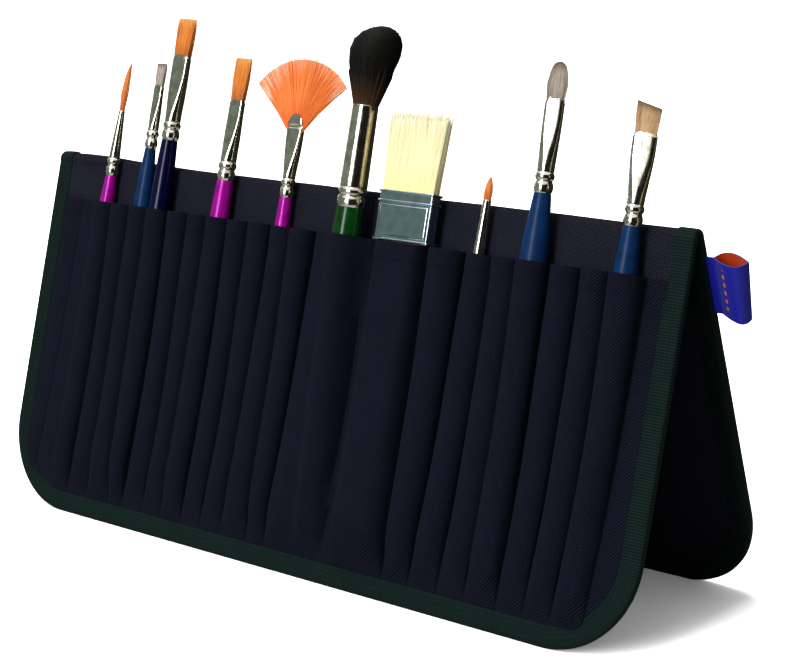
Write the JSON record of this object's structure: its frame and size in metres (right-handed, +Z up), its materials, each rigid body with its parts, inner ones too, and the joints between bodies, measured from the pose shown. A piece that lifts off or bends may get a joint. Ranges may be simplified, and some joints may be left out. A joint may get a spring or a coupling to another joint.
{
  "type": "brush case",
  "caption": "Folding tent-shaped artist's brush case: two stiff cloth-covered panels joined by a ridge fold, with a pleated pocket strip holding removable brushes upright.",
  "frame": {"origin": "middle of the front panel's flat foot, on the table", "axes": "+X along the ridge to the right, the front panel faces -Y, +Z up"},
  "size_m": [0.364, 0.0983, 0.2188],
  "materials": {
    "board": "raw grey board",
    "twill": "matte cotton twill",
    "tape": "ribbed grosgrain",
    "ribbon": "satin ribbon",
    "lacquer_magenta": "pearly lacquer",
    "lacquer_blue": "satin lacquer",
    "lacquer_navy": "gloss lacquer",
    "lacquer_green": "gloss lacquer",
    "bare_wood": "oiled",
    "nickel": "polished nickel plate",
    "tin": "tinned sheet",
    "hair_orange": "filament hair",
    "hair_brown": "filament hair",
    "hair_black": "soft squirrel-type hair",
    "hair_cream": "hog bristle"
  },
  "bodies": {
    "front_panel": {"front_cover": "twill", "front_board": "board", "front_facing": "twill", "front_binding": "tape", "spine_fold": "twill", "pocket_strip": "twill"},
    "rear_panel": {"rear_cover": "twill", "rear_board": "board", "rear_facing": "twill", "rear_binding": "tape", "label_loop": "ribbon"},
    "pointed_round_brush": {"pointed_round_handle": "lacquer_magenta", "pointed_round_ferrule": "nickel", "pointed_round_hair": "hair_orange"},
    "small_flat_brush": {"small_flat_handle": "lacquer_blue", "small_flat_ferrule": "nickel", "small_flat_hair": "hair_brown"},
    "large_flat_brush": {"large_flat_handle": "lacquer_navy", "large_flat_ferrule": "nickel", "large_flat_hair": "hair_orange"},
    "medium_flat_brush": {"medium_flat_handle": "lacquer_magenta", "medium_flat_ferrule": "nickel", "medium_flat_hair": "hair_orange"},
    "fan_brush": {"fan_handle": "lacquer_magenta", "fan_ferrule": "nickel", "fan_hair": "hair_orange"},
    "mop_brush": {"mop_handle": "lacquer_green", "mop_ferrule": "nickel", "mop_hair": "hair_black"},
    "bristle_brush": {"bristle_handle": "bare_wood", "bristle_ferrule": "tin", "bristle_hair": "hair_cream"},
    "detail_round_brush": {"detail_round_handle": "lacquer_magenta", "detail_round_ferrule": "nickel", "detail_round_hair": "hair_orange"},
    "filbert_brush": {"filbert_handle": "lacquer_blue", "filbert_ferrule": "nickel", "filbert_hair": "hair_brown"},
    "slanted_flat_brush": {"slanted_flat_handle": "lacquer_blue", "slanted_flat_ferrule": "nickel", "slanted_flat_hair": "hair_brown"}
  },
  "joints": [
    {"name": "panel_fold", "type": "hinge", "parent": "front_panel", "child": "rear_panel", "pos_m": [0, 0.04594, 0.14876], "axis": [1, 0, 0], "range_deg": [-33.4, 146.6]},
    {"name": "pointed_round_lift", "type": "slide", "parent": "front_panel", "child": "pointed_round_brush", "axis": [0.0209, 0.2747, 0.9613], "range_m": [0, 0.135]},
    {"name": "small_flat_lift", "type": "slide", "parent": "front_panel", "child": "small_flat_brush", "axis": [-0.007, 0.2705, 0.9627], "range_m": [0, 0.135]},
    {"name": "large_flat_lift", "type": "slide", "parent": "front_panel", "child": "large_flat_brush", "axis": [0.0122, 0.2671, 0.9636], "range_m": [0, 0.135]},
    {"name": "medium_flat_lift", "type": "slide", "parent": "front_panel", "child": "medium_flat_brush", "axis": [0.0157, 0.2696, 0.9628], "range_m": [0, 0.135]},
    {"name": "fan_lift", "type": "slide", "parent": "front_panel", "child": "fan_brush", "axis": [-0.0157, 0.2764, 0.9609], "range_m": [0, 0.135]},
    {"name": "mop_lift", "type": "slide", "parent": "front_panel", "child": "mop_brush", "axis": [0.0244, 0.2432, 0.9697], "range_m": [0, 0.135]},
    {"name": "bristle_lift", "type": "slide", "parent": "front_panel", "child": "bristle_brush", "axis": [-0.0035, 0.2706, 0.9627], "range_m": [0, 0.135]},
    {"name": "detail_round_lift", "type": "slide", "parent": "front_panel", "child": "detail_round_brush", "axis": [0.0122, 0.2759, 0.9611], "range_m": [0, 0.135]},
    {"name": "filbert_lift", "type": "slide", "parent": "front_panel", "child": "filbert_brush", "axis": [-0.0105, 0.2611, 0.9652], "range_m": [0, 0.135]},
    {"name": "slanted_flat_lift", "type": "slide", "parent": "front_panel", "child": "slanted_flat_brush", "axis": [-0.0035, 0.2671, 0.9637], "range_m": [0, 0.135]}
  ]
}
